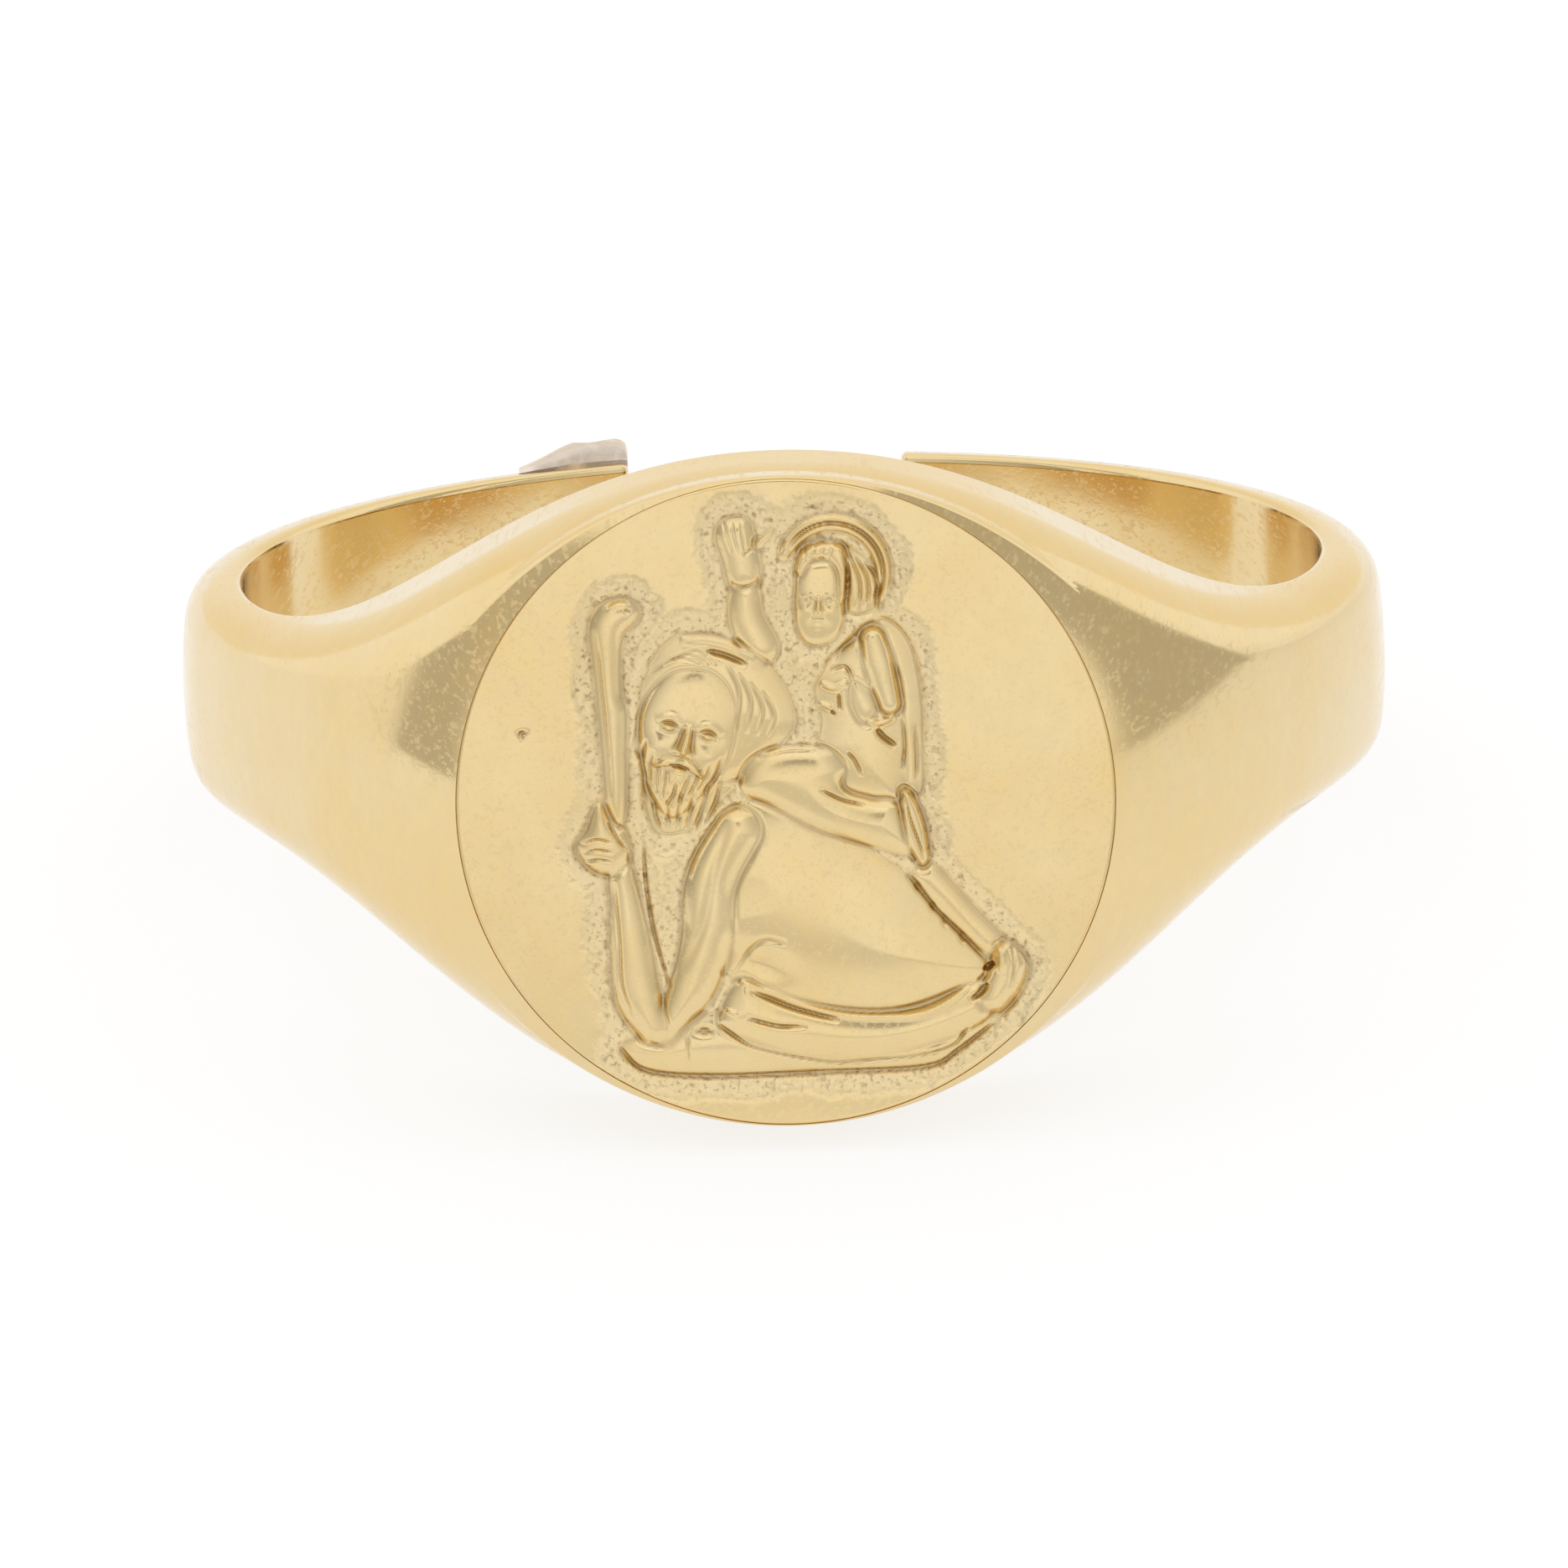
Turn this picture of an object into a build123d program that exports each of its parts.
from build123d import *
import os
from math import atan, cos, degrees, hypot, radians, sin, sqrt

# Signet ring with a round table, lying as it comes to rest on a flat surface.
#
# The floor is Z = 0 and the origin is under the middle of the ring's box. The round table
# faces -Y. The ring rests on the lower rim of its head and on the lower edges of its two
# shank ends, so its finger hole is tilted back by the lie angle, and every piece is drawn on
# the tilted planes below. All sizes are in millimetres.

# --- sizes of the ring ---
bore_diameter = 19.4  # finger hole
shank_thickness = 1.12  # at the middle of the crowned outside
shank_width = 3.8  # along the finger
left_opening = 2.8  # from the middle of the back to the free end of the left arm
right_opening = 2.25
edge_round = 0.15  # on the long outer edges

# --- sizes of the head ---
table_diameter = 11.5
head_lip = 0.05  # how far the head's sides stand outside the table
head_thickness = 2.5  # from the finger hole to the table
shoulder_start = 4.8  # how far the head keeps its full width before the shoulders narrow
shoulder_reach = 2.9  # how far before the widest point the shoulders are down to shank width
shoulder_rise = 15.0  # angle before the widest point where the shoulders leave the shank circle
plate_thickness = 1.0  # engraved plate that makes the table
solder_thickness = 0.08

# --- sizes of the relief ---
field_depth = 0.40  # how far the ground of the relief is sunk below the table
field_rim = 0.30  # least width of plain table outside the sunk ground
bearer_height = 0.46  # relief pieces, from the sunk ground up
child_height = 0.44
staff_height = 0.40
nimbus_height = 0.32
nimbus_width = 0.42
nimbus_groove_width = 0.08
nimbus_groove_depth = 0.11
figure_round = 0.10  # on the upper edges of the relief

# --- old solder on one shank end ---
pad_length = 2.0
pad_height = 0.36
pad_slope = 1.0  # length over which it thins out
pad_bevel = 0.16
pad_setback = 0.12  # from the inner and outer faces of the shank

bore_radius = bore_diameter / 2
shank_radius = bore_radius + shank_thickness
shank_half = shank_width / 2
table_radius = table_diameter / 2
head_half = table_radius + head_lip
table_distance = bore_radius + head_thickness

# --- how the ring lies ---
edge_radius = sqrt(shank_radius**2 - shank_half**2)
heel_reach = sqrt(edge_radius**2 - left_opening**2)
lie = atan((head_half - shank_half) / (bore_radius + heel_reach))
bore_direction = (0, sin(lie), cos(lie))
table_direction = (0, -cos(lie), sin(lie))
back_direction = (0, cos(lie), -sin(lie))
front_reach = table_distance * cos(lie) + table_radius * sin(lie)
back_reach = heel_reach * cos(lie) + shank_half * sin(lie)
centre = Vector(
    0,
    (front_reach - back_reach) / 2,
    heel_reach * sin(lie) + shank_half * cos(lie),
)

ring_plane = Plane(origin=centre, x_dir=(1, 0, 0), z_dir=bore_direction)
face_plane = Plane(origin=centre, x_dir=(1, 0, 0), z_dir=table_direction)
bore_axis = Axis(centre, bore_direction)
table_axis = Axis(centre, back_direction)
table_up = Axis(centre, table_direction)

os.makedirs("parts", exist_ok=True)


def radial_plane(angle):
    """A plane through the bore axis, turned from the ring's right side towards its back."""
    turn = radians(angle)
    outward = Vector(1, 0, 0) * cos(turn) + Vector(*back_direction) * sin(turn)
    return Plane(origin=centre, x_dir=outward, z_dir=outward.cross(Vector(*bore_direction)))


def shank_stretch(angle, length):
    """A length of shank, in degrees, with its crowned outside and rounded long edges."""
    with BuildPart() as stretch:
        with BuildSketch(radial_plane(angle)) as section:
            with BuildLine():
                Polyline(
                    (edge_radius, shank_half),
                    (bore_radius, shank_half),
                    (bore_radius, -shank_half),
                    (edge_radius, -shank_half),
                )
                ThreePointArc(
                    (edge_radius, -shank_half), (shank_radius, 0), (edge_radius, shank_half)
                )
            make_face()
            fillet(section.vertices().group_by(Axis.X)[-1], radius=edge_round)
        revolve(axis=bore_axis, revolution_arc=length)
    return stretch.part


def is_outer_rim(edge):
    """True for the long rims of the head and shoulders, outside the finger hole."""
    from_centre = edge @ 0.5 - centre
    height = from_centre.dot(Vector(*bore_direction))
    reach = (from_centre - Vector(*bore_direction) * height).length
    return edge.geom_type == GeomType.BSPLINE and reach > bore_radius + edge_round


def drawn(points):
    """Points of the relief's drawing at their real size on the table."""
    return [(x * drawing_scale, z * drawing_scale) for x, z in points]


# The head and shoulders are turned about the table's axis: a flat table, then one long arc
# that runs out into the shank's own circle.
with BuildPart() as turned_head:
    with BuildSketch(ring_plane) as half_profile:
        with BuildLine():
            Polyline((shank_radius, 0), (0, 0), (0, -table_distance), (table_radius, -table_distance))
            leaving = CenterArc((0, 0), shank_radius, 0, -shoulder_rise)
            TangentArc(leaving @ 1, (table_radius, -table_distance), tangent=leaving % 1)
        make_face()
    revolve(axis=table_axis)

# Seen from the front, the head is hardly wider than its table and narrows to the shank.
with BuildPart() as ring_head:
    with BuildSketch(face_plane) as outline:
        with BuildLine():
            flank = Bezier(
                (0, head_half),
                (shoulder_start, head_half),
                (bore_radius - shoulder_reach, shank_half),
                (bore_radius, shank_half),
            )
            Line(flank @ 1, (shank_radius + edge_round, shank_half))
            Line((shank_radius + edge_round, shank_half), (shank_radius + edge_round, 0))
            Line((shank_radius + edge_round, 0), (0, 0))
            Line((0, 0), flank @ 0)
        make_face()
        mirror(about=Plane.XZ)
        mirror(about=Plane.YZ)
    extrude(amount=table_distance)
    add(turned_head.part, mode=Mode.INTERSECT)
    with BuildSketch(ring_plane):
        Circle(bore_radius)
    extrude(amount=2 * head_half, both=True, mode=Mode.SUBTRACT)
    outer_rims = ring_head.edges().filter_by(is_outer_rim)
    fillet(outer_rims, radius=edge_round)

plate_back = table_distance - plate_thickness
solder_back = plate_back - solder_thickness
with BuildPart() as head_body:
    add(ring_head.part)
    split(bisect_by=face_plane.offset(solder_back), keep=Keep.BOTTOM)
head_body.part.label = "head_body"
export_step(head_body.part, "parts/head_body.step")

with BuildPart() as table_solder:
    add(ring_head.part)
    split(bisect_by=face_plane.offset(plate_back), keep=Keep.BOTTOM)
    split(bisect_by=face_plane.offset(solder_back), keep=Keep.TOP)
table_solder.part.label = "table_solder"
export_step(table_solder.part, "parts/table_solder.step")

# --- shank: two open arms, each soldered to its shoulder at the ring's widest point ---
solder_turn = degrees(solder_thickness / bore_radius)
with BuildPart() as right_seam_solder:
    add(shank_stretch(0, solder_turn))
right_seam_solder.part.label = "right_seam_solder"
export_step(right_seam_solder.part, "parts/right_seam_solder.step")

with BuildPart() as left_seam_solder:
    mirror(right_seam_solder.part, about=Plane.YZ)
left_seam_solder.part.label = "left_seam_solder"
export_step(left_seam_solder.part, "parts/left_seam_solder.step")

right_half = shank_stretch(solder_turn, 90 - solder_turn)
with BuildPart() as right_shank_arm:
    add(right_half)
    split(bisect_by=Plane.YZ.offset(right_opening), keep=Keep.TOP)
right_shank_arm.part.label = "right_shank_arm"
export_step(right_shank_arm.part, "parts/right_shank_arm.step")

with BuildPart() as left_shank_arm:
    mirror(right_half, about=Plane.YZ)
    split(bisect_by=Plane.YZ.offset(-left_opening), keep=Keep.BOTTOM)
left_shank_arm.part.label = "left_shank_arm"
export_step(left_shank_arm.part, "parts/left_shank_arm.step")

# A wedge of old solder on the upper face of the left arm, beside its free end.
with BuildPart() as old_solder:
    with BuildSketch(ring_plane.offset(shank_half)):
        Circle(edge_radius - edge_round - pad_setback)
        Circle(bore_radius + pad_setback, mode=Mode.SUBTRACT)
    extrude(amount=pad_height)
    with BuildSketch(face_plane) as wedge:
        with BuildLine():
            Polyline(
                (-left_opening, shank_half),
                (-left_opening, shank_half + pad_height - pad_bevel),
                (-left_opening - pad_bevel, shank_half + pad_height),
                (-left_opening - pad_length + pad_slope, shank_half + pad_height),
                (-left_opening - pad_length, shank_half),
                close=True,
            )
        make_face()
    extrude(amount=-shank_radius, mode=Mode.INTERSECT)
old_solder.part.label = "old_solder"
export_step(old_solder.part, "parts/old_solder.step")

# --- the relief: figures standing in the sunk field of the table ---
# Its outlines are drawn in millimetres about the middle of the table, X right and Z up, and
# scaled so that the farthest point of the field stays inside the table's plain rim.
field_outline = [
    (-0.75, 5.35), (-0.1, 4.95), (0.9, 5.2), (2.05, 4.6), (2.3, 3.6), (2.65, 2.2), (2.72, 0.0),
    (2.95, -1.3), (3.75, -2.2), (4.4, -3.0), (4.0, -3.85), (2.75, -4.8), (0.0, -5.0),
    (-2.7, -4.9), (-3.25, -3.9), (-3.4, -1.6), (-3.9, -0.8), (-3.6, 0.3), (-3.5, 3.2),
    (-2.85, 4.0), (-2.1, 3.7), (-1.5, 3.9), (-1.3, 4.9),
]
outline_bulge = 0.06  # how far the smooth outline swings outside its points
drawn_reach = max(hypot(x, z) for x, z in field_outline) + outline_bulge
drawing_scale = (table_radius - field_rim) / drawn_reach
field_floor = table_distance - field_depth


def relief_outline(points):
    """A smooth closed outline through points of the drawing, as a face."""
    with BuildSketch() as shape:
        with BuildLine():
            Spline(drawn(points), periodic=True)
        make_face()
    return shape.sketch


with BuildPart() as table_plate:
    add(ring_head.part)
    split(bisect_by=face_plane.offset(plate_back), keep=Keep.TOP)
    with BuildSketch(face_plane.offset(table_distance)):
        add(relief_outline(field_outline))
    extrude(amount=-field_depth, mode=Mode.SUBTRACT)
table_plate.part.label = "table_plate"
export_step(table_plate.part, "parts/table_plate.step")

with BuildPart() as child_figure:
    with BuildSketch(face_plane.offset(field_floor)):
        add(relief_outline([
            (0.55, 4.2), (1.15, 4.05), (1.5, 3.3), (2.1, 2.8), (2.4, 1.5), (2.4, 0.2),
            (2.45, -1.1), (2.1, -1.2), (0.6, -0.75), (-0.6, -0.1), (-0.75, 0.4), (-0.3, 0.85),
            (0.45, 1.1), (0.4, 1.9), (-0.1, 2.45), (-0.65, 3.0), (-0.85, 3.6), (-1.1, 4.7),
            (-0.75, 5.15), (-0.35, 4.9), (-0.3, 4.1), (-0.2, 3.4), (0.0, 3.05), (0.2, 3.6),
        ]))
    extrude(amount=child_height)
    fillet(child_figure.faces().sort_by(table_up)[-1].edges(), radius=figure_round)
child_figure.part.label = "child_figure"
export_step(child_figure.part, "parts/child_figure.step")

with BuildPart() as bearer_figure:
    with BuildSketch(face_plane.offset(field_floor)):
        add(relief_outline([
            (-1.3, 3.05), (-0.4, 2.75), (0.2, 1.7), (0.0, 0.7), (0.6, -0.4), (2.2, -1.0),
            (3.6, -2.4), (4.1, -3.0), (3.7, -3.7), (2.5, -4.6), (0.0, -4.75), (-2.6, -4.7),
            (-3.0, -4.1), (-3.2, -1.3), (-3.65, -0.6), (-3.2, 0.1), (-2.6, -0.5),
            (-2.15, -3.2), (-1.4, -1.7), (-1.1, -0.5), (-2.0, -0.6), (-2.3, 0.5), (-2.1, 2.3),
        ]))
    extrude(amount=bearer_height)
    fillet(bearer_figure.faces().sort_by(table_up)[-1].edges(), radius=figure_round)
    add(child_figure.part, mode=Mode.SUBTRACT)
bearer_figure.part.label = "bearer_figure"
export_step(bearer_figure.part, "parts/bearer_figure.step")

with BuildPart() as bearer_staff:
    with BuildSketch(face_plane.offset(field_floor)):
        add(relief_outline([
            (-3.2, 0.0), (-2.75, -0.2), (-2.7, 1.4), (-2.7, 3.1), (-2.35, 3.4), (-2.5, 3.75),
            (-3.0, 3.7), (-3.3, 3.2), (-3.2, 1.5),
        ]))
    extrude(amount=staff_height)
    fillet(bearer_staff.faces().sort_by(table_up)[-1].edges(), radius=figure_round)
    add(bearer_figure.part, mode=Mode.SUBTRACT)
bearer_staff.part.label = "bearer_staff"
export_step(bearer_staff.part, "parts/bearer_staff.step")

# Two rings in one arc stand round the child's head, which hides their lower left part.
nimbus_centre = drawn([(0.93, 3.93)])[0]
nimbus_radius = 1.02 * drawing_scale
nimbus_middle = nimbus_radius - nimbus_width / 2
with BuildPart() as child_nimbus:
    with BuildSketch(face_plane.offset(field_floor)):
        with Locations(nimbus_centre):
            Circle(nimbus_radius)
            Circle(nimbus_radius - nimbus_width, mode=Mode.SUBTRACT)
    extrude(amount=nimbus_height)
    with BuildSketch(face_plane.offset(field_floor + nimbus_height)):
        with Locations(nimbus_centre):
            Circle(nimbus_middle + nimbus_groove_width / 2)
            Circle(nimbus_middle - nimbus_groove_width / 2, mode=Mode.SUBTRACT)
    extrude(amount=-nimbus_groove_depth, mode=Mode.SUBTRACT)
    add(child_figure.part, mode=Mode.SUBTRACT)
child_nimbus.part.label = "child_nimbus"
export_step(child_nimbus.part, "parts/child_nimbus.step")
